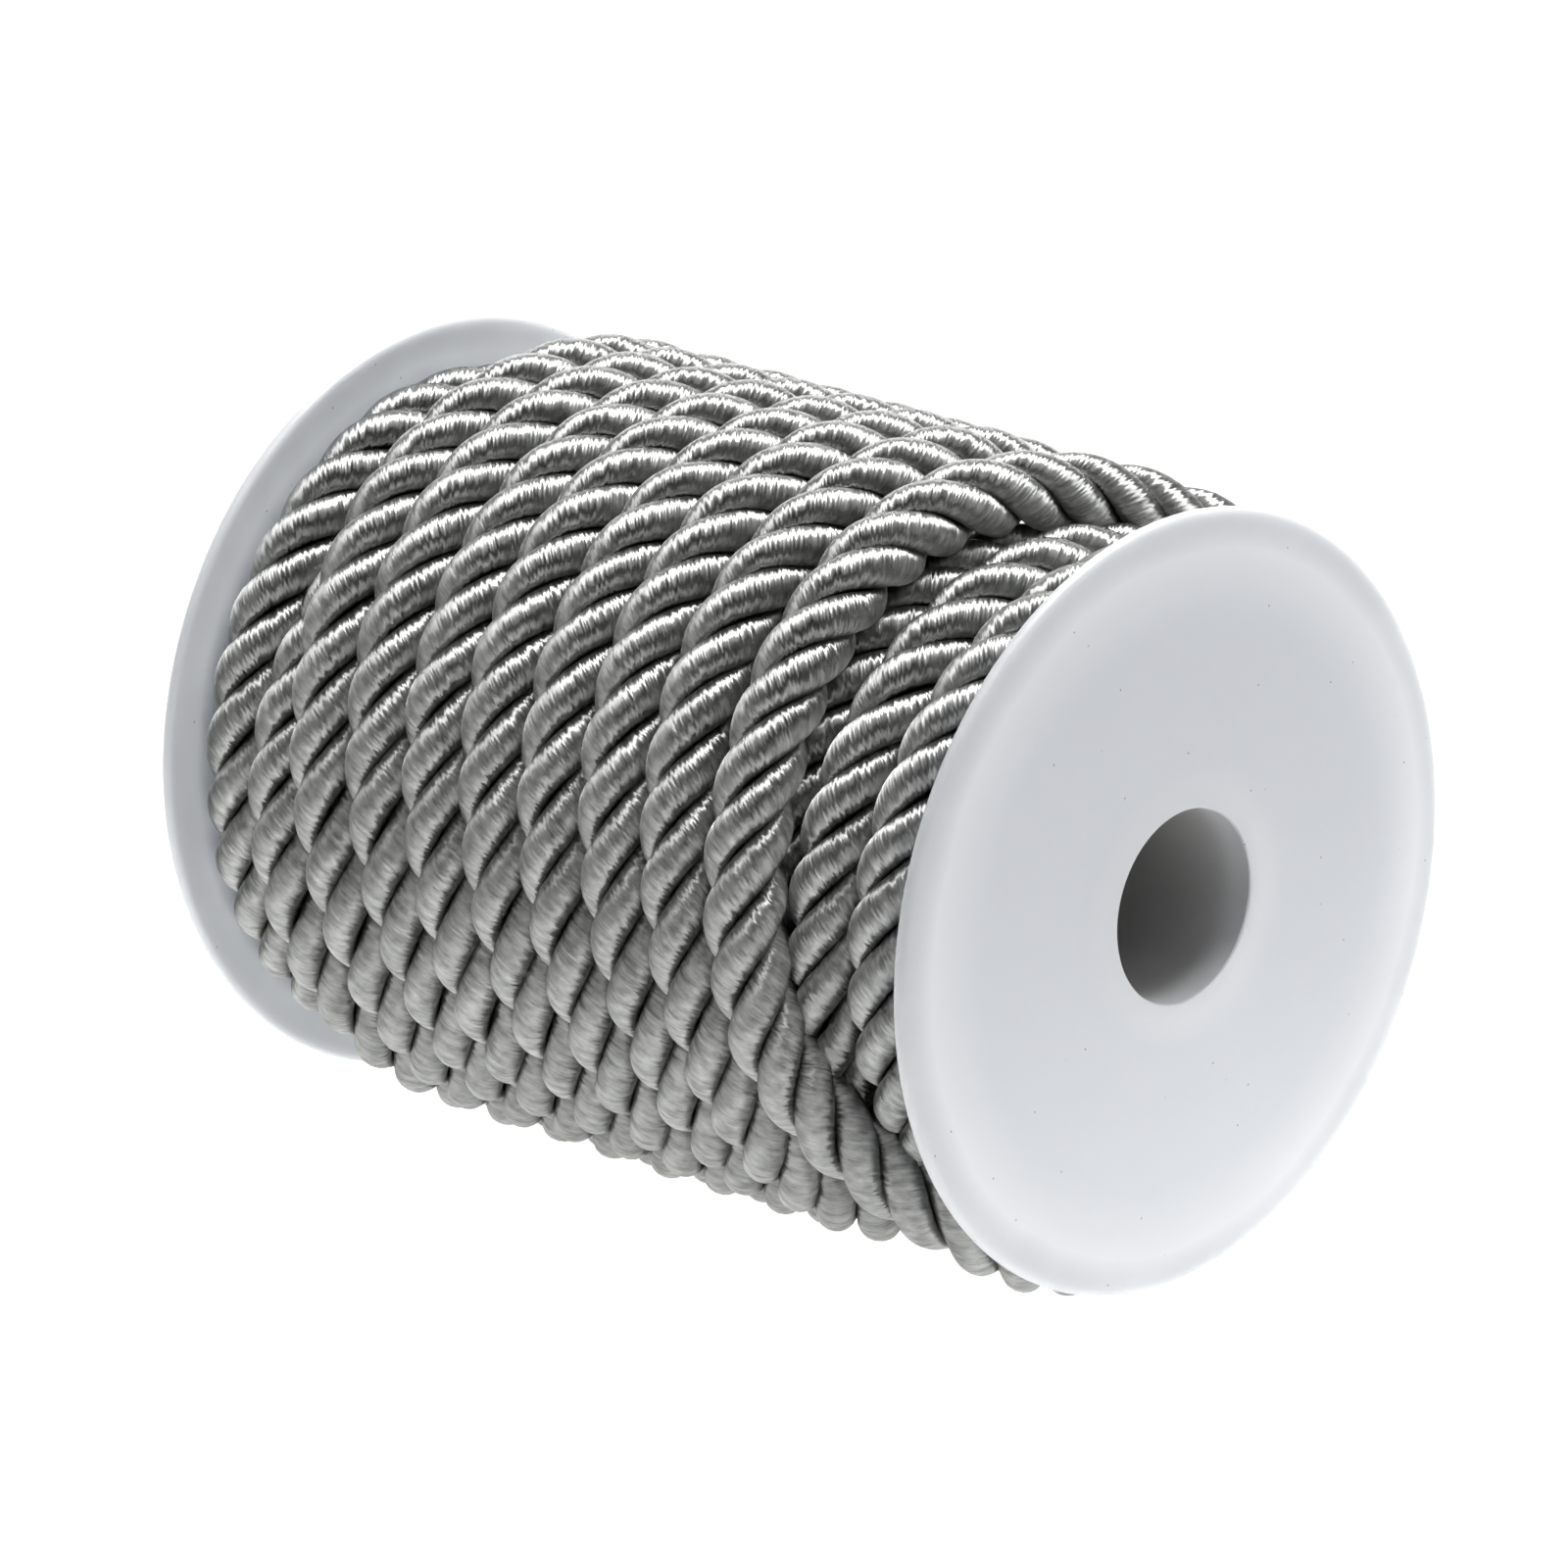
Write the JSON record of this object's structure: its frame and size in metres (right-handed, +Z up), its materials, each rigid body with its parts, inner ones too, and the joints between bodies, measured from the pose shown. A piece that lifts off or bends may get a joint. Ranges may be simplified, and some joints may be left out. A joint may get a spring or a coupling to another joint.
{
  "type": "twisted cord on a spool",
  "caption": "Thick twisted satin cord wound in layers on a white plastic spool that lies on its side.",
  "frame": {"origin": "under the middle of the spool, on the surface that it lies on", "axes": "+X along the spool's axis, towards the end shown nearest; +Z up; +Y towards the back"},
  "size_m": [0.1058, 0.0818, 0.0809],
  "materials": {
    "spool_plastic": "moulded white plastic, faintly translucent",
    "cord_satin": "silver grey satin fibre with bright bands along the strands"
  },
  "bodies": {
    "root": {"flange_near": "spool_plastic", "flange_far": "spool_plastic", "core_tube": "spool_plastic", "cord_winding": "cord_satin"}
  },
  "joints": []
}
